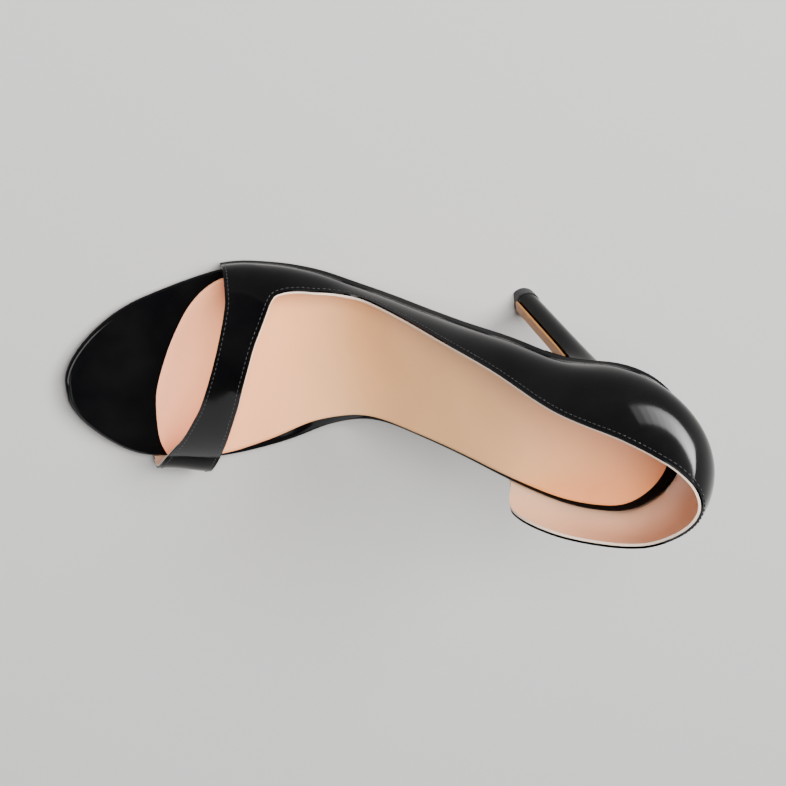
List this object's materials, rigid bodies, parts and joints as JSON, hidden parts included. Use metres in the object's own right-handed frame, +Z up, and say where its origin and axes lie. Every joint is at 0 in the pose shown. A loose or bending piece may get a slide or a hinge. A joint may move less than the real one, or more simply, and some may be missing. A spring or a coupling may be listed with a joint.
{
  "type": "peep toe stiletto",
  "caption": "High-heeled half d'Orsay sandal for the right foot: black patent strap and counter on a shaped insole board, slim heel.",
  "frame": {"origin": "middle of the heel tip's flat face, on the floor", "axes": "+X towards the toe, +Y towards the inner side of the foot, +Z up"},
  "size_m": [0.2031, 0.0774, 0.1612],
  "materials": {
    "upper": "black patent leather with a nude leather lining",
    "insole_board": "fibre board wrapped in black patent leather",
    "insole_sock": "nude lining leather, satin",
    "outsole": "tan sole leather, smooth",
    "heel": "moulded heel covered in black patent leather",
    "top_piece": "dark hard rubber, satin"
  },
  "bodies": {
    "root": {"upper": "upper", "insole_board": "insole_board", "insole_sock": "insole_sock", "outsole": "outsole", "heel": "heel", "top_piece": "top_piece"}
  },
  "joints": []
}
